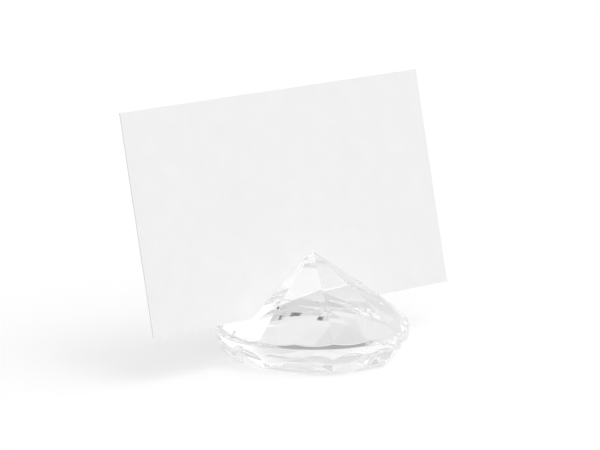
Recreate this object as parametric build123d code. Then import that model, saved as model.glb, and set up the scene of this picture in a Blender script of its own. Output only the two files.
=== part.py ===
# Place card holder: a clear brilliant-cut stone that lies on its table, with its point up.
# A slot just behind the point holds a blank card.
# Millimetres. +Z is up, the slot runs along X, and the side of the card that is read faces -Y.
# The origin is the centre of the table, the flat face that the stone rests on.
from build123d import *
import os
from math import asin, atan2, cos, degrees, hypot, radians, sin

# The stone, from the table up: crown, round girdle band, pavilion and point
FACET_COUNT = 8  # main facets round the pavilion, and bezels round the crown
FACET_TURN = -6.0  # degrees from +X to the middle of the first main facet
GIRDLE_RADIUS = 22.5  # the round band, the widest part of the stone
TABLE_INSET = 5.1  # girdle to the corners of the table, towards the axis
STAR_INSET = 2.4  # girdle to the outer tips of the star facets beside the table
CROWN_HEIGHT = 5.4  # table to the lower edge of the girdle band
GIRDLE_HEIGHT = 2.65  # the band, between the points of its two wavy edges
PAVILION_HEIGHT = 16.6  # upper edge of the girdle band to the point
FORK_INSET = 8.0  # girdle to where each ridge between two main facets forks
POINT_FLAT = 0.25  # axis to the sides of the small flat on the point
FACET_OVERRUN = 0.15  # how far outside the girdle the facets of one corner would meet
TURNING_STOCK = 0.3  # left on the facetted blank, and turned off to make the girdle round

# The slot, and the card that stands in it
SLOT_WIDTH = 3.05  # front wall to rear wall
SLOT_SETBACK = 0.5  # axis of the stone to the front wall
SLOT_FLOOR_HEIGHT = 11.3  # table to the floor of the slot
CUT_OVERRUN = 1.0  # how far a cutting shape passes the stone
CARD_WIDTH = 88.9
CARD_HEIGHT = 50.8
CARD_THICKNESS = 0.4
CARD_SHIFT = -1.9  # middle of the card from the axis of the stone, along X
CARD_REST_GAP = 0.05  # from the card to the front wall at its foot, and to the rim of the rear wall

# Worked out from the sizes above
facet_angle = 360 / FACET_COUNT
half_angle = facet_angle / 2
half_cos = cos(radians(half_angle))
quarter_cos = cos(radians(half_angle / 2))
table_radius = GIRDLE_RADIUS - TABLE_INSET
star_radius = GIRDLE_RADIUS - STAR_INSET
fork_radius = GIRDLE_RADIUS - FORK_INSET
meet_radius = GIRDLE_RADIUS + FACET_OVERRUN
blank_radius = (GIRDLE_RADIUS + TURNING_STOCK) / quarter_cos
point_height = CROWN_HEIGHT + GIRDLE_HEIGHT + PAVILION_HEIGHT
main_slope = PAVILION_HEIGHT / (GIRDLE_RADIUS - POINT_FLAT)
bezel_slope = CROWN_HEIGHT / TABLE_INSET


def main_facet_height(reach):
    """Height of a main facet, at this distance from the axis along its own middle."""
    return point_height - (reach - POINT_FLAT) * main_slope


def bezel_height(reach):
    """Height of a bezel facet, at this distance from the axis along its own middle."""
    return (reach - table_radius) * bezel_slope


def ring(radius, height, turn):
    """One point for each main facet, at this radius and height, turned from its middle by this angle."""
    angles = [radians(FACET_TURN + turn + facet_angle * number) for number in range(FACET_COUNT)]
    return [Vector(radius * cos(angle), radius * sin(angle), height) for angle in angles]


def run_on(inner_radius, inner_height, meet_height):
    """Height at the blank's corners of a girdle facet that passes these two heights on its way out."""
    slope = (meet_height - inner_height) / (meet_radius - inner_radius)
    return meet_height + slope * (blank_radius - meet_radius)


def facetted_blank():
    """The stone before its girdle is turned round: every facet flat, with upright sides at the girdle."""
    fork_height = main_facet_height(fork_radius * half_cos)
    star_height = bezel_height(star_radius * half_cos)
    main_meet = main_facet_height(meet_radius)
    bezel_meet = bezel_height(meet_radius)
    upper_edge = run_on(fork_radius, fork_height, main_meet)
    lower_edge = run_on(star_radius, star_height, bezel_meet)

    point = ring(POINT_FLAT / half_cos, point_height, half_angle)
    forks = ring(fork_radius, fork_height, half_angle)
    main_tips = ring(meet_radius, main_meet, 0)
    upper_main = ring(blank_radius, upper_edge, 0)
    upper_middle = ring(blank_radius, upper_edge, half_angle)
    lower_main = ring(blank_radius, lower_edge, 0)
    lower_middle = ring(blank_radius, lower_edge, half_angle)
    bezel_tips = ring(meet_radius, bezel_meet, 0)
    stars = ring(star_radius, star_height, half_angle)
    table = ring(table_radius, 0, 0)

    outlines = [point, table]
    for here in range(FACET_COUNT):
        back = here - 1
        ahead = (here + 1) % FACET_COUNT
        # The pavilion: a main facet, and the pair of girdle facets over the ridge ahead of it
        outlines.append([point[back], forks[back], main_tips[here], forks[here], point[here]])
        outlines.append([forks[here], main_tips[here], upper_main[here], upper_middle[here]])
        outlines.append([forks[here], main_tips[ahead], upper_main[ahead], upper_middle[here]])
        # The upright sides
        outlines.append([upper_main[here], upper_middle[here], lower_middle[here], lower_main[here]])
        outlines.append([upper_main[ahead], upper_middle[here], lower_middle[here], lower_main[ahead]])
        # The crown: a bezel, and the pair of girdle facets and the star ahead of it
        outlines.append([table[here], stars[back], bezel_tips[here], stars[here]])
        outlines.append([stars[here], bezel_tips[here], lower_main[here], lower_middle[here]])
        outlines.append([stars[here], bezel_tips[ahead], lower_main[ahead], lower_middle[here]])
        outlines.append([table[here], table[ahead], stars[here]])
    return Solid(Shell([Face(Wire.make_polygon(outline)) for outline in outlines]))


def diamond_base():
    """The stone, with its girdle turned round and the slot cut from end to end behind the point."""
    bar_height = point_height + 2 * CUT_OVERRUN
    bar_place = Pos(0, 0, point_height / 2)
    round_stone = facetted_blank() & bar_place * Cylinder(GIRDLE_RADIUS, bar_height)
    slot_length = 2 * (GIRDLE_RADIUS + CUT_OVERRUN)
    slot_place = Pos(0, SLOT_SETBACK, SLOT_FLOOR_HEIGHT)
    slot = slot_place * Box(
        slot_length, SLOT_WIDTH, point_height, align=(Align.CENTER, Align.MIN, Align.MIN)
    )
    return round_stone - slot


def card_lean(stone):
    """Degrees from upright at which the card, with its foot by the front wall, lies back on the rear rim."""
    rear_wall = stone.faces().filter_by(Axis.Y).sort_by(Axis.Y)[-1]
    across = SLOT_WIDTH - CARD_REST_GAP - CARD_THICKNESS
    rise = rear_wall.bounding_box().max.Z - SLOT_FLOOR_HEIGHT
    return degrees(atan2(across, rise) - asin(CARD_REST_GAP / hypot(across, rise)))


def place_card(lean):
    """The blank card, with the lower edge of its back on the slot floor."""
    foot = (CARD_SHIFT, SLOT_SETBACK + CARD_REST_GAP + CARD_THICKNESS, SLOT_FLOOR_HEIGHT)
    card_plane = Plane(origin=foot, x_dir=(1, 0, 0), z_dir=(0, sin(radians(lean)), cos(radians(lean))))
    return card_plane * Box(
        CARD_WIDTH, CARD_THICKNESS, CARD_HEIGHT, align=(Align.CENTER, Align.MAX, Align.MIN)
    )


stone = diamond_base()
lean = card_lean(stone)
pieces = {
    "diamond_base": stone,
    "place_card": place_card(lean),
}

os.makedirs("parts", exist_ok=True)
for name, piece in pieces.items():
    export_step(piece, f"parts/{name}.step")
    print(name, len(piece.solids()), "solid,", round(piece.volume, 1), "cubic mm")
print("the card leans back", round(lean, 3), "degrees")
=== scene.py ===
# %% [markdown]
# # A clear place card holder
# The object is a solid acrylic stone, cut like a diamond and laid on its table, with a blank card leaning
# back in a slot behind its point. The construction model gives every size and place, and arrives here as
# a fixed frame in metres. This lesson gives the two pieces their finish and lights them.

# %% Load the frame
import math

import bmesh
import bpy
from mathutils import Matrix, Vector


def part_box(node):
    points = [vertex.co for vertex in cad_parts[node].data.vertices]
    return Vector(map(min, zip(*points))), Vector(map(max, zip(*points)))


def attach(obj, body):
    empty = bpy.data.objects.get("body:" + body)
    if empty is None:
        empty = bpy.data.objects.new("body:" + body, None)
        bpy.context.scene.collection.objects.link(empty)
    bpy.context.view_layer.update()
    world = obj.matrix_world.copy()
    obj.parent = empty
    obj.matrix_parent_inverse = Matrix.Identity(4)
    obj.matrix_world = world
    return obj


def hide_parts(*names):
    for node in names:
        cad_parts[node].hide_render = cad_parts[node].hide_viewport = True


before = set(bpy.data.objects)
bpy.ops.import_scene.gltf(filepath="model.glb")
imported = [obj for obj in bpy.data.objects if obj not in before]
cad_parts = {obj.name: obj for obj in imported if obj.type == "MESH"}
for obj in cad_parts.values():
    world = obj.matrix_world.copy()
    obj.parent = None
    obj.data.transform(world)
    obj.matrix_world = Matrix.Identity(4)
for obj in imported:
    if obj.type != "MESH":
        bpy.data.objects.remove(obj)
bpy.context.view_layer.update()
MM = 0.001  # one millimetre, in the frame's metres

# %% [markdown]
# ## Where the camera stands
# A long lens far from a small object keeps parallel edges nearly parallel, as product photographs do. The
# angles, the distance and the point looked at were worked out from the corners of the card and of the
# stone.

# %% Camera
PICTURE_WIDTH = 600  # pixels
FOCAL_LENGTH = 4109  # in pixels of that width
VIEW_AZIMUTH = math.radians(-40.65)
VIEW_ELEVATION = math.radians(11.93)
VIEW_DISTANCE = 941.3 * MM
VIEW_CENTRE_RIGHT = -2.95 * MM  # from the stone's axis, across the view
VIEW_CENTRE_HEIGHT = 30.96 * MM
NEAREST_SEEN = 10 * MM  # from the camera

scene = bpy.context.scene
camera_data = bpy.data.cameras.new("photo_camera")
camera_data.lens = camera_data.sensor_width * FOCAL_LENGTH / PICTURE_WIDTH
camera_data.clip_start = NEAREST_SEEN
camera = bpy.data.objects.new("photo_camera", camera_data)
scene.collection.objects.link(camera)
scene.camera = camera
camera_right = Vector((math.cos(VIEW_AZIMUTH), math.sin(VIEW_AZIMUTH), 0))
camera_away = Vector((-math.sin(VIEW_AZIMUTH), math.cos(VIEW_AZIMUTH), 0))
to_camera = -camera_away * math.cos(VIEW_ELEVATION) + Vector((0, 0, math.sin(VIEW_ELEVATION)))
view_centre = camera_right * VIEW_CENTRE_RIGHT + Vector((0, 0, VIEW_CENTRE_HEIGHT))
camera.location = view_centre + to_camera * VIEW_DISTANCE
camera.rotation_euler = (-to_camera).to_track_quat("-Z", "Y").to_euler()
print("lens in mm:", round(camera_data.lens, 1))

# %% [markdown]
# ## One helper for every node tree
# Node trees grow long when each node takes five lines. This one function adds a node, sets its properties
# and fills its inputs, either with a value or with a link from another node's output. Colours are written
# as a screen shows them, in sRGB hex, and a second function turns them to the linear values that shaders
# reckon with.

# %% Node helper and colours


def add_node(tree, kind, inputs=None, **settings):
    """Add a node with these settings. Each input is given a value, or a link where a socket is given."""
    node = tree.nodes.new(kind)
    for name, value in settings.items():
        setattr(node, name, value)
    for name, value in (inputs or {}).items():
        if isinstance(value, bpy.types.NodeSocket):
            tree.links.new(value, node.inputs[name])
        else:
            node.inputs[name].default_value = value
    return node


def linear(hex_colour):
    """An sRGB hex colour as the linear values that shaders take, with the sRGB standard's own constants."""
    parts = [int(hex_colour[i:i + 2], 16) / 255 for i in (1, 3, 5)]
    return [p / 12.92 if p <= 0.04045 else ((p + 0.055) / 1.055) ** 2.4 for p in parts] + [1.0]


print("half grey on a screen, as linear light:", round(linear("#808080")[0], 3))

# %% [markdown]
# ## The rule of a brilliant cut
# A brilliant cut repeats one set of facets eight times round an axis. All of its corners lie on rings of
# eight points, so the stone is the convex hull of those rings. Modelling each facet by hand would take
# dozens of polygons; a Geometry Nodes tree needs one circle for each ring, and the hull finds the facets
# by itself. The rings below are worked out from a few cutting sizes, the same ones that the construction
# model has.

# %% Cutting sizes of the stone
FACETS = 8  # main facets round the pavilion, and bezels round the crown
FACET_TURN = math.radians(-6)  # from +X to the middle of the first main facet
TABLE_INSET = 5.1 * MM  # girdle to the corners of the table, towards the axis
STAR_INSET = 2.4 * MM  # girdle to the outer tips of the star facets beside the table
FORK_INSET = 8.0 * MM  # girdle to where each ridge between two main facets forks
CROWN_HEIGHT = 5.4 * MM  # table to the lower edge of the girdle band
PAVILION_HEIGHT = 16.6 * MM  # upper edge of the girdle band to the point
POINT_FLAT = 0.25 * MM  # axis to the sides of the small flat on the point
FACET_OVERRUN = 0.15 * MM  # how far outside the girdle the facets of one corner would meet
TURNING_STOCK = 0.3 * MM  # left on the facetted blank, outside the girdle

stone_low, stone_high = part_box("diamond_base")
girdle_radius = (stone_high.x - stone_low.x) / 2
point_height = stone_high.z
half_turn = math.pi / FACETS
half_cos = math.cos(half_turn)
table_radius = girdle_radius - TABLE_INSET
star_radius = girdle_radius - STAR_INSET
fork_radius = girdle_radius - FORK_INSET
meet_radius = girdle_radius + FACET_OVERRUN
blank_radius = (girdle_radius + TURNING_STOCK) / math.cos(half_turn / 2)


def main_height(reach):
    """Height of a main facet of the pavilion, this far from the axis along its middle."""
    return point_height - (reach - POINT_FLAT) * PAVILION_HEIGHT / (girdle_radius - POINT_FLAT)


def bezel_height(reach):
    """Height of a bezel facet of the crown, this far from the axis along its middle."""
    return (reach - table_radius) * CROWN_HEIGHT / TABLE_INSET


def run_on(inner_radius, inner_height, meet_height):
    """Height at the blank's corners of a girdle facet that passes these two heights on its way out."""
    slope = (meet_height - inner_height) / (meet_radius - inner_radius)
    return meet_height + slope * (blank_radius - meet_radius)


fork_height = main_height(fork_radius * half_cos)
star_height = bezel_height(star_radius * half_cos)
upper_edge = run_on(fork_radius, fork_height, main_height(meet_radius))
lower_edge = run_on(star_radius, star_height, bezel_height(meet_radius))
# Each ring: radius, height, and whether it stands between the main facets
stone_rings = {
    "Point": (POINT_FLAT / half_cos, point_height, True),
    "Fork": (fork_radius, fork_height, True),
    "Main tip": (meet_radius, main_height(meet_radius), False),
    "Upper girdle": (blank_radius, upper_edge, False),
    "Upper girdle between": (blank_radius, upper_edge, True),
    "Lower girdle": (blank_radius, lower_edge, False),
    "Lower girdle between": (blank_radius, lower_edge, True),
    "Bezel tip": (meet_radius, bezel_height(meet_radius), False),
    "Star": (star_radius, star_height, True),
    "Table": (table_radius, 0.0, False),
}
print("girdle radius in mm:", round(girdle_radius / MM, 2), "rings:", len(stone_rings))

# %% [markdown]
# ## Growing the stone in Geometry Nodes
# The stone follows a rule, so a node tree grows it: rings, a hull round them, a round girdle and a slot.
# The sizes could be typed into the nodes. As named inputs they stand together in the modifier instead,
# and another stone is only a change of numbers there. This first step gives the tree one input for each
# size.

# %% Inputs of the stone's tree
SLOT_WIDTH = 3.05 * MM  # front wall to rear wall
SLOT_SETBACK = 0.5 * MM  # axis of the stone to the front wall
SLOT_FLOOR_HEIGHT = 11.3 * MM  # table to the floor of the slot
SLOT_OVERRUN = 2.25 * MM  # how far the cutting box passes the girdle at each end
PARTING_HEIGHT = 6.9 * MM  # the line round the girdle where the mould's halves part
UPPER_DRAFT = math.radians(8)  # slope of the band above that line
LOWER_DRAFT = math.radians(12)  # and below it

stone_sizes = {
    "Facets": FACETS,
    "Facet turn": FACET_TURN,
    "Girdle radius": girdle_radius,
    "Slot length": 2 * (girdle_radius + SLOT_OVERRUN),
    "Slot width": SLOT_WIDTH,
    "Slot depth": point_height,
    "Slot setback": SLOT_SETBACK,
    "Slot floor": SLOT_FLOOR_HEIGHT,
    "Parting height": PARTING_HEIGHT,
    "Bar reach": point_height,
    "Upper draft": UPPER_DRAFT,
    "Lower draft": LOWER_DRAFT,
}
for ring, (radius, height, _) in stone_rings.items():
    stone_sizes[ring + " radius"] = radius
    stone_sizes[ring + " height"] = height

stone_tree = bpy.data.node_groups.new("Brilliant cut with slot", "GeometryNodeTree")
stone_identifiers = {}
for size, value in stone_sizes.items():
    kind = "NodeSocketInt" if isinstance(value, int) else "NodeSocketFloat"
    socket = stone_tree.interface.new_socket(size, in_out="INPUT", socket_type=kind)
    stone_identifiers[size] = socket.identifier
stone_tree.interface.new_socket("Stone", in_out="OUTPUT", socket_type="NodeSocketGeometry")
size_of = add_node(stone_tree, "NodeGroupInput").outputs
print("inputs of the stone's tree:", len(stone_identifiers))

# %% [markdown]
# ## Rings and hull
# On the stone, every corner where facets meet lies on one of the rings. Each ring is a circle of eight
# points, lifted to its height and turned to stand over the main facets or between them. The convex hull
# of all the points has flat facets and no holes, where faces drawn point by point would have to be kept
# closed by hand.

# %% Rings and hull


def stand(shape, height, turn):
    """A shape lifted to this height, and turned by this angle about the stone's axis."""
    place = add_node(stone_tree, "ShaderNodeCombineXYZ", {"Z": height}).outputs[0]
    spin = add_node(stone_tree, "ShaderNodeCombineXYZ", {"Z": turn}).outputs[0]
    placing = {"Geometry": shape, "Translation": place, "Rotation": spin}
    return add_node(stone_tree, "GeometryNodeTransform", placing).outputs[0]


half_step = add_node(stone_tree, "ShaderNodeMath", {0: math.pi, 1: size_of["Facets"]}, operation="DIVIDE")
turn_between = add_node(stone_tree, "ShaderNodeMath", {0: size_of["Facet turn"], 1: half_step.outputs[0]})
joined = add_node(stone_tree, "GeometryNodeJoinGeometry")
for ring, (_, _, between) in stone_rings.items():
    points = {"Vertices": size_of["Facets"], "Radius": size_of[ring + " radius"]}
    circle = add_node(stone_tree, "GeometryNodeMeshCircle", points)
    turn = turn_between.outputs[0] if between else size_of["Facet turn"]
    placed = stand(circle.outputs["Mesh"], size_of[ring + " height"], turn)
    stone_tree.links.new(placed, joined.inputs[0])
hull = add_node(stone_tree, "GeometryNodeConvexHull", {"Geometry": joined.outputs[0]})
print("nodes up to the hull:", len(stone_tree.nodes))

# %% [markdown]
# ## The girdle band
# The girdle is the round band at the widest part of the stone. Keeping only what lies inside a round bar
# makes it, and scallops its two edges where the bar meets the flat facets. One straight bar would do for
# a turned stone. A moulded one has to leave a mould of two halves, so two tapered bars are used, and the
# band slopes in a little to both sides of the line where the halves part.

# %% Girdle band
GIRDLE_SIDES = 256  # flat sides round each bar, a multiple of the facets

bar_ends = {0: size_of["Parting height"], 1: size_of["Bar reach"]}
bar_foot = add_node(stone_tree, "ShaderNodeMath", bar_ends, operation="SUBTRACT")
bar_depth = add_node(stone_tree, "ShaderNodeMath", {0: size_of["Bar reach"], 1: 2.0}, operation="MULTIPLY")
banded = add_node(stone_tree, "GeometryNodeMeshBoolean", operation="INTERSECT", solver="EXACT")
stone_tree.links.new(hull.outputs[0], banded.inputs["Mesh 2"])
for draft, wide_end, narrow_end in (
    ("Upper draft", "Radius Bottom", "Radius Top"),
    ("Lower draft", "Radius Top", "Radius Bottom"),
):
    slope = add_node(stone_tree, "ShaderNodeMath", {0: size_of[draft]}, operation="TANGENT").outputs[0]
    run = {0: slope, 1: size_of["Bar reach"]}
    spread = add_node(stone_tree, "ShaderNodeMath", run, operation="MULTIPLY").outputs[0]
    reach = {0: size_of["Girdle radius"], 1: spread}
    bar_sizes = {
        "Vertices": GIRDLE_SIDES,
        wide_end: add_node(stone_tree, "ShaderNodeMath", reach, operation="ADD").outputs[0],
        narrow_end: add_node(stone_tree, "ShaderNodeMath", reach, operation="SUBTRACT").outputs[0],
        "Depth": bar_depth.outputs[0],
    }
    bar = add_node(stone_tree, "GeometryNodeMeshCone", bar_sizes)
    # Turned with the facets, a bar meets every one of them alike, and the edges can be rounded without folds
    placed = stand(bar.outputs["Mesh"], bar_foot.outputs[0], size_of["Facet turn"])
    stone_tree.links.new(placed, banded.inputs["Mesh 2"])
print("nodes up to the girdle:", len(stone_tree.nodes))

# %% [markdown]
# ## The slot
# The slot for the card goes right through the stone, just behind the point. It could be drawn into every
# facet that it crosses, but a Boolean with a box finds those cuts by itself, wherever the sizes put them.
# The tree ends by making everything real geometry and giving it its material.

# %% Slot
slot_sides = {"X": size_of["Slot length"], "Y": size_of["Slot width"], "Z": size_of["Slot depth"]}
slot_size = add_node(stone_tree, "ShaderNodeCombineXYZ", slot_sides).outputs[0]
slot_box = add_node(stone_tree, "GeometryNodeMeshCube", {"Size": slot_size})
# A box is made round its middle, so half its width and depth bring its front wall to the axis
# and its floor to the table
to_middle = {0: slot_size, 1: (0, 0.5, 0.5)}
half_size = add_node(stone_tree, "ShaderNodeVectorMath", to_middle, operation="MULTIPLY").outputs[0]
corner_place = {"Y": size_of["Slot setback"], "Z": size_of["Slot floor"]}
slot_corner = add_node(stone_tree, "ShaderNodeCombineXYZ", corner_place).outputs[0]
slot_place = add_node(stone_tree, "ShaderNodeVectorMath", {0: half_size, 1: slot_corner}).outputs[0]
slot_moved = add_node(
    stone_tree,
    "GeometryNodeTransform",
    {"Geometry": slot_box.outputs["Mesh"], "Translation": slot_place},
)
slotted = add_node(
    stone_tree,
    "GeometryNodeMeshBoolean",
    {"Mesh 1": banded.outputs["Mesh"], "Mesh 2": slot_moved.outputs[0]},
    operation="DIFFERENCE",
    solver="EXACT",
)
acrylic = bpy.data.materials.new("clear_moulded_acrylic")
realized = add_node(stone_tree, "GeometryNodeRealizeInstances", {"Geometry": slotted.outputs["Mesh"]})
finished = add_node(
    stone_tree, "GeometryNodeSetMaterial", {"Geometry": realized.outputs[0], "Material": acrylic}
)
add_node(stone_tree, "NodeGroupOutput", {"Stone": finished.outputs[0]})
print("nodes of the whole tree:", len(stone_tree.nodes))

# %% [markdown]
# ## From tree to mesh
# A modifier on an empty mesh runs the tree. The next steps mark single edges and faces of the stone, and
# such marks need a mesh that stays as it is. So the result is kept as a plain mesh, and the object that
# grew it is removed.

# %% Sharp stone
stone_maker = bpy.data.objects.new("stone_maker", bpy.data.meshes.new("stone_maker"))
scene.collection.objects.link(stone_maker)
growth = stone_maker.modifiers.new("Brilliant cut", "NODES")
growth.node_group = stone_tree
for size, value in stone_sizes.items():
    growth[stone_identifiers[size]] = value
grown = stone_maker.evaluated_get(bpy.context.evaluated_depsgraph_get())
sharp_stone = bpy.data.meshes.new_from_object(grown)
bpy.data.objects.remove(stone_maker)
print("sharp stone faces:", len(sharp_stone.polygons))

# %% [markdown]
# ## Edges to ease
# Moulded and polished acrylic has no knife edges: every edge is eased by a fraction of a millimetre, and
# those thin strips are what draw the bright and dark lines round each facet. A Bevel modifier can round
# edges by a weight on each one, so the girdle and the slot get more than the ridges between facets. The
# mesh is merged first, because cuts leave doubled corners and split faces, and a rounding would tear at
# them.

# %% Edge weights
WELD_DISTANCE = 0.03 * MM  # corners closer than this are one
FLAT_ANGLE = math.radians(0.5)  # neighbours that bend by less than this are one face
EDGE_ANGLE = math.radians(4)  # neighbours that bend by more than this have an edge between them
GIRDLE_EASE = 0.2 * MM
FACET_EASE = 0.05 * MM
SLOT_EASE = 0.2 * MM  # in the corners of the slot's floor
BAND_TILT = 0.4  # a face of the band has less than this of the upward direction in its normal
BAND_REACH = 0.97 * girdle_radius  # and its middle further than this from the axis


def merged(mesh):
    """A working copy of a mesh, with doubled corners welded and flat neighbours made one face."""
    copy = bmesh.new()
    copy.from_mesh(mesh)
    bmesh.ops.remove_doubles(copy, verts=copy.verts, dist=WELD_DISTANCE)
    bmesh.ops.dissolve_limit(copy, angle_limit=FLAT_ANGLE, verts=copy.verts, edges=copy.edges)
    bmesh.ops.recalc_face_normals(copy, faces=copy.faces)
    return copy


def on_girdle(face):
    """Whether this face is part of the round band."""
    return abs(face.normal.z) < BAND_TILT and face.calc_center_median().xy.length > BAND_REACH


def edge_ease(edge):
    """How wide this edge of the stone is eased."""
    if not edge.is_convex:
        return SLOT_EASE
    return GIRDLE_EASE if any(on_girdle(face) for face in edge.link_faces) else FACET_EASE


widest_ease = max(GIRDLE_EASE, FACET_EASE, SLOT_EASE)
work = merged(sharp_stone)
stone_volume = work.calc_volume()
weight = work.edges.layers.float.new("bevel_weight_edge")
for edge in work.edges:
    if edge.calc_face_angle(0) > EDGE_ANGLE:
        edge[weight] = edge_ease(edge) / widest_ease
work.to_mesh(sharp_stone)
work.free()
print("stone volume in cubic mm:", round(stone_volume / MM**3, 1), "faces:", len(sharp_stone.polygons))

# %% [markdown]
# ## The eased stone
# Bevel and Weighted Normal stay on the piece as modifiers, so that the sharp mesh below them stays
# simple. The first rounds the weighted edges, and the second lets the large facets stay optically flat
# beside the rounded strips. The walls of the slot are marked in an attribute, so that the material can
# tell them from the facets.

# %% Eased stone
EASE_SEGMENTS = 4
STRAIGHT = 0.999  # a face looks along an axis when its normal has this much of it
LARGE_FACES_FIRST = 100  # at 50 a face counts by its area alone, at 100 the largest settle the normals

stone = bpy.data.objects.new("clear_stone", sharp_stone)
scene.collection.objects.link(stone)
slot_wall = sharp_stone.attributes.new("slot_wall", "FLOAT", "FACE")
for polygon in sharp_stone.polygons:
    on_floor = polygon.normal.z > STRAIGHT and abs(polygon.center.z - SLOT_FLOOR_HEIGHT) < WELD_DISTANCE
    in_slot = on_floor or abs(polygon.normal.y) > STRAIGHT
    polygon.use_smooth = not in_slot
    slot_wall.data[polygon.index].value = float(in_slot)
bevel = stone.modifiers.new("Eased edges", "BEVEL")
bevel.width = widest_ease
bevel.segments = EASE_SEGMENTS
bevel.limit_method = "WEIGHT"
bevel.use_clamp_overlap = False
weighted = stone.modifiers.new("Flat facets", "WEIGHTED_NORMAL")
weighted.weight = LARGE_FACES_FIRST
weighted.keep_sharp = True
print("widest ease in mm:", round(widest_ease / MM, 2), "modifiers:", [each.name for each in stone.modifiers])

# %% [markdown]
# ## Clear acrylic
# The stone is moulded in one piece from colourless acrylic, which bends light by an index of 1.49. What
# the eye sees is nearly all refraction and inner reflection, so the colour stays close to white and does
# little. A thick moulding shrinks as it cools, which leaves its polished facets very slightly wavy: a
# broad, weak bump bends the reflections as that does. The slot's walls are left as the mould's core
# leaves them, with a trace of satin.

# %% Acrylic material
ACRYLIC_TINT = "#F9F9F9"
ACRYLIC_IOR = 1.49
SINK_SIZE = 7.0 * MM  # across one shallow hollow of the shrunken surface
SINK_DEPTH = 0.012 * MM
SINK_DETAIL = 0.0  # no finer waves on the hollows
POLISHED = 0.0  # roughness of the facets
SATIN = 0.02  # and of the slot's walls

# Moulded acrylic: pressed hot into a polished steel mould, so its facets are bright and its edges soft
acrylic.use_nodes = True
tree = acrylic.node_tree
tree.nodes.clear()
place = add_node(tree, "ShaderNodeTexCoord").outputs["Object"]
sinks = add_node(
    tree, "ShaderNodeTexNoise", {"Vector": place, "Scale": 1 / SINK_SIZE, "Detail": SINK_DETAIL}
)
wavy = add_node(tree, "ShaderNodeBump", {"Height": sinks.outputs["Fac"], "Distance": SINK_DEPTH})
walls = add_node(tree, "ShaderNodeAttribute", attribute_name="slot_wall")
finish = add_node(
    tree, "ShaderNodeMapRange", {"Value": walls.outputs["Fac"], "To Min": POLISHED, "To Max": SATIN}
)
shader = add_node(
    tree,
    "ShaderNodeBsdfPrincipled",
    {
        "Base Color": linear(ACRYLIC_TINT),
        "Roughness": finish.outputs["Result"],
        "IOR": ACRYLIC_IOR,
        "Transmission Weight": 1.0,
        "Normal": wavy.outputs["Normal"],
    },
)
add_node(tree, "ShaderNodeOutputMaterial", {"Surface": shader.outputs[0]})
print("acrylic nodes:", len(tree.nodes))

# %% [markdown]
# ## The card
# The card is guillotined from heavy stock, so its edges are square and only just broken. The construction
# mesh is loose triangles, so a copy is merged first: then a Bevel modifier finds its twelve real edges.
# Faces that look along the card's own plane are its cut edges, and an attribute marks them for the
# material.

# %% Card piece
CARD_EASE = 0.05 * MM
CARD_EASE_SEGMENTS = 2
FACING = 0.5  # a face with less than this of the front's direction in its normal is a cut edge

work = merged(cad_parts["place_card"].data)
card_mesh = bpy.data.meshes.new("blank_card")
work.to_mesh(card_mesh)
work.free()
card = bpy.data.objects.new("blank_card", card_mesh)
scene.collection.objects.link(card)
card_front = max(card_mesh.polygons, key=lambda polygon: polygon.area).normal.copy()
cut_edge = card_mesh.attributes.new("cut_edge", "FLOAT", "FACE")
for polygon in card_mesh.polygons:
    polygon.use_smooth = True
    cut_edge.data[polygon.index].value = float(abs(polygon.normal.dot(card_front)) < FACING)
bevel = card.modifiers.new("Broken edges", "BEVEL")
bevel.width = CARD_EASE
bevel.segments = CARD_EASE_SEGMENTS
weighted = card.modifiers.new("Flat sides", "WEIGHTED_NORMAL")
weighted.weight = LARGE_FACES_FIRST
card_lean = math.degrees(math.asin(abs(card_front.z)))
print("card faces:", len(card_mesh.polygons), "lean in degrees:", round(card_lean, 2))

# %% [markdown]
# ## White card stock
# Uncoated stock is a felt of wood fibres that settle mostly along one way of the machine. Close to, it
# has faint clouds where the felt is thicker, and a fine tooth that kills any gloss. Two noises draw both:
# one round and broad for the clouds, one stretched along the card for the fibres, which feeds a bump as
# well. A photograph of paper would show the same, but noise has no seam and no fixed resolution.

# %% Card material
CLOUD_SIZE = 5.0 * MM
CLOUD_DETAIL = 3.0  # finer layers of noise on the clouds
FIBRE_SIZE = 0.6 * MM  # drawn coarser than real fibres, some 0.03 mm thick, which are too fine to show
FIBRE_DETAIL = 2.0  # finer layers of noise on the fibres
FIBRE_STRETCH = 0.3  # scale of the noise along the card, against across it
FIBRE_DEPTH = 0.01 * MM
FIBRE_SHARE = 0.35  # of the mottling, the rest is clouds
FELT_COLOURS = ("#F1F1F1", "#F8F8F8")  # the darkest and the lightest of the mottling
CUT_EDGE_COLOUR = "#EEEDEB"
SIDE_ROUGHNESS = 0.85
CUT_EDGE_ROUGHNESS = 0.95
FIBRE_SHINE = 0.3  # a smooth surface has 0.5

# Card stock: pulp laid wet on a moving wire and pressed dry, so it is matt and scatters light evenly
card_stock = bpy.data.materials.new("white_card_stock")
card_stock.use_nodes = True
tree = card_stock.node_tree
tree.nodes.clear()
place = add_node(tree, "ShaderNodeTexCoord").outputs["Object"]
clouds = add_node(
    tree, "ShaderNodeTexNoise", {"Vector": place, "Scale": 1 / CLOUD_SIZE, "Detail": CLOUD_DETAIL}
)
along = add_node(tree, "ShaderNodeMapping", {"Vector": place, "Scale": (FIBRE_STRETCH, 1, 1)})
fibres = add_node(
    tree,
    "ShaderNodeTexNoise",
    {"Vector": along.outputs["Vector"], "Scale": 1 / FIBRE_SIZE, "Detail": FIBRE_DETAIL},
)
mottle = add_node(
    tree,
    "ShaderNodeMix",
    {"Factor": FIBRE_SHARE, "A": clouds.outputs["Fac"], "B": fibres.outputs["Fac"]},
)
darkest, lightest = (linear(shade) for shade in FELT_COLOURS)
side = add_node(
    tree,
    "ShaderNodeMix",
    {"Factor": mottle.outputs["Result"], "A": darkest, "B": lightest},
    data_type="RGBA",
)
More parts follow.
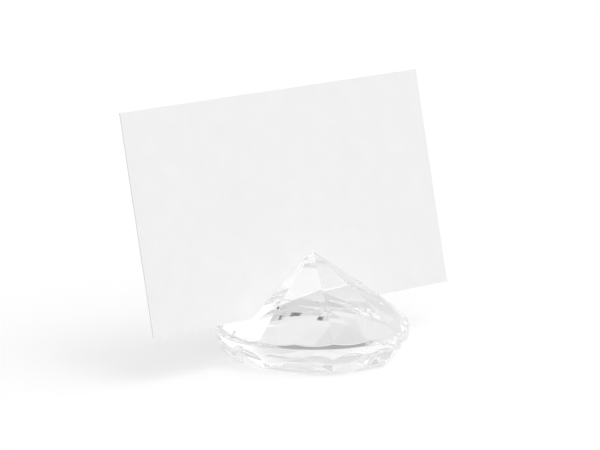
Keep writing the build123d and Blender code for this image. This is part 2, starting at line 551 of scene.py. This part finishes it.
edges = add_node(tree, "ShaderNodeAttribute", attribute_name="cut_edge").outputs["Fac"]
colour = add_node(
    tree,
    "ShaderNodeMix",
    {"Factor": edges, "A": side.outputs["Result"], "B": linear(CUT_EDGE_COLOUR)},
    data_type="RGBA",
)
tooth = add_node(
    tree, "ShaderNodeMapRange", {"Value": edges, "To Min": SIDE_ROUGHNESS, "To Max": CUT_EDGE_ROUGHNESS}
)
raised = add_node(tree, "ShaderNodeBump", {"Height": fibres.outputs["Fac"], "Distance": FIBRE_DEPTH})
shader = add_node(
    tree,
    "ShaderNodeBsdfPrincipled",
    {
        "Base Color": colour.outputs["Result"],
        "Roughness": tooth.outputs["Result"],
        "Specular IOR Level": FIBRE_SHINE,
        "Normal": raised.outputs["Normal"],
    },
)
add_node(tree, "ShaderNodeOutputMaterial", {"Surface": shader.outputs[0]})
card_mesh.materials.append(card_stock)
print("card stock nodes:", len(tree.nodes))

# %% [markdown]
# ## The paper floor
# Small table goods are photographed on a sweep of matt white paper, lit until it is only just white, so
# that the object's soft shadow is all that is left of it. Lighting the paper that hard would flood the
# stone from below. A Light Path node gets round it: rays that carry the picture to the eye meet a
# brighter paper than the rays that carry light from the paper to the object.

# %% Floor
FLOOR_REACH = 6.0  # metres from the object to each side
FLOOR_GAP = 0.05 * MM  # a film of air under the stone's table
FLOOR_BRIGHT = 1.04  # the paper for rays that carry the picture, so that only shadows are below white
PAPER_COLOUR = "#E6E6E6"  # the paper for rays that carry its light to the object

floor_mesh = bpy.data.meshes.new("floor")
corners = [(x * FLOOR_REACH, y * FLOOR_REACH, -FLOOR_GAP) for x, y in ((-1, -1), (1, -1), (1, 1), (-1, 1))]
floor_mesh.from_pydata(corners, [], [(0, 1, 2, 3)])
floor = bpy.data.objects.new("floor", floor_mesh)
scene.collection.objects.link(floor)

# Sweep paper: pulp pressed without a coating, so it has no gloss and takes a shadow softly
paper = bpy.data.materials.new("white_sweep")
paper.use_nodes = True
tree = paper.node_tree
tree.nodes.clear()
ray = add_node(tree, "ShaderNodeLightPath")
watched = ray.outputs["Is Camera Ray"]
for kind in ("Is Glossy Ray", "Is Transmission Ray"):
    either = add_node(tree, "ShaderNodeMath", {0: watched, 1: ray.outputs[kind]}, operation="MAXIMUM")
    watched = either.outputs[0]
seen = add_node(
    tree,
    "ShaderNodeMix",
    {"Factor": watched, "A": linear(PAPER_COLOUR), "B": [FLOOR_BRIGHT] * 3 + [1.0]},
    data_type="RGBA",
)
shader = add_node(tree, "ShaderNodeBsdfDiffuse", {"Color": seen.outputs["Result"]})
add_node(tree, "ShaderNodeOutputMaterial", {"Surface": shader.outputs[0]})
floor_mesh.materials.append(paper)
print("floor across in m:", 2 * FLOOR_REACH)

# %% [markdown]
# ## The light tent
# A clear stone has no look of its own: each facet is a window on one part of the room. So it is set in a
# tent of white cloth with a soft box in front, dimmer sides, and a few gaps, whose dark streaks tell the
# eye that the clear piece is cut. Lamps and cloth panels could be modelled, but soft-edged cones of
# directions in the world's own shader give the same reflections with less noise. Each one is placed as
# the camera sees it: right, away and up.

# %% Parts of the tent
TENT_LEVEL = 0.94
RIM_LEVEL = 0.75
RIM_HEIGHTS = (0.10, 0.28)  # the upward part of the directions between which the lower rim fades out
# Each part of the tent: right, away and up as the camera sees it, degrees to its outer and inner edge, and
# its level, where 1 is white. A part covers the ones before it where they overlap.
tent_parts = {
    "soft box": ((0.48, -0.70, 0.52), (52, 30), 1.94),
    "camera side": ((0.17, -0.90, 0.40), (26, 14), 0.80),
    "right side": ((0.90, -0.30, 0.38), (28, 14), 0.80),
    "left side": ((-0.88, -0.40, 0.30), (24, 12), 0.82),
    "lens opening": ((0.03, -0.98, 0.18), (13, 7), 0.60),
    "bright side": ((0.78, 0.58, 0.28), (46, 20), 1.36),
    "dim side": ((-0.80, 0.45, 0.40), (38, 20), 0.76),
    "dim corner": ((-0.22, 0.955, 0.19), (11, 4), 0.83),
    "shaded top": ((0.0, 0.30, 0.95), (30, 12), 0.74),
    "shaded seam": ((0.20, 0.68, 0.70), (18, 8), 0.90),
    "front flap": ((-0.04, -0.74, 0.67), (16, 9), 0.85),
    "first gap": ((0.28, 0.42, 0.86), (2.2, 1.3), 0.10),
    "second gap": ((0.145, 0.45, 0.88), (4.0, 2.6), 0.10),
    "third gap": ((-0.05, 0.56, 0.83), (2.4, 1.4), 0.10),
    "open top": ((-0.26, -0.18, 0.95), (24, 12), 0.42),
}
print("parts of the tent:", len(tent_parts))

# %% [markdown]
# ## The tent's shader
# A world shader is asked for the light that comes from one direction at a time. The dot product of that
# direction with a part's own direction says how close they are, and a smooth step between two angles
# gives the part its soft edge. Mixing the parts in turn lays each one over the tent, and the darker rim
# by the floor comes last.

# %% Tent
world = bpy.data.worlds.new("white_studio")
scene.world = world
world.use_nodes = True
tree = world.node_tree
tree.nodes.clear()
look = add_node(tree, "ShaderNodeTexCoord").outputs["Generated"]


def cone(direction, angles):
    """How far a direction lies inside a soft-edged cone: 0 past the first angle, 1 within the second."""
    near = add_node(
        tree, "ShaderNodeVectorMath", {0: look, 1: direction.normalized()}, operation="DOT_PRODUCT"
    )
    outer, inner = (math.cos(math.radians(angle)) for angle in angles)
    inside = add_node(
        tree,
        "ShaderNodeMapRange",
        {"Value": near.outputs["Value"], "From Min": outer, "From Max": inner},
        interpolation_type="SMOOTHSTEP",
    )
    return inside.outputs["Result"]


level = TENT_LEVEL
for (right, away, up), angles, value in tent_parts.values():
    direction = camera_right * right + camera_away * away + Vector((0, 0, up))
    covered = add_node(tree, "ShaderNodeMix", {"Factor": cone(direction, angles), "A": level, "B": value})
    level = covered.outputs["Result"]
lift = add_node(tree, "ShaderNodeSeparateXYZ", {0: look}).outputs["Z"]
above_rim = add_node(
    tree,
    "ShaderNodeMapRange",
    {"Value": lift, "From Min": RIM_HEIGHTS[0], "From Max": RIM_HEIGHTS[1]},
    interpolation_type="SMOOTHSTEP",
)
rimmed = add_node(tree, "ShaderNodeMix", {"Factor": above_rim.outputs["Result"], "A": RIM_LEVEL, "B": level})
sky = add_node(
    tree, "ShaderNodeBackground", {"Color": linear("#FFFFFF"), "Strength": rimmed.outputs["Result"]}
)
add_node(tree, "ShaderNodeOutputWorld", {"Surface": sky.outputs[0]})
print("tent nodes:", len(tree.nodes))

# %% [markdown]
# ## Light inside the stone
# Light that enters a faceted stone is thrown from wall to wall before it finds a way out. A renderer that
# gives up after a few turns leaves those facets black, so the limit is raised, and the filter that blurs
# sharp reflections to save time is switched off. The Standard view shows white as white.

# %% Light paths
LIGHT_BOUNCES = 48  # light is caught inside a faceted stone for many turns before it leaves

scene.view_settings.view_transform = "Standard"
scene.cycles.max_bounces = LIGHT_BOUNCES
scene.cycles.transmission_bounces = LIGHT_BOUNCES
scene.cycles.glossy_bounces = LIGHT_BOUNCES
scene.cycles.blur_glossy = 0.0
print("turns that light may take:", LIGHT_BOUNCES)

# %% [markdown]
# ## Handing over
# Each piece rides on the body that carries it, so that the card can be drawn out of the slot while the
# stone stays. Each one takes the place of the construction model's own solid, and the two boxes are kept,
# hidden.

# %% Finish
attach(stone, "holder")
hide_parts("diamond_base")
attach(card, "card")
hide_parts("place_card")
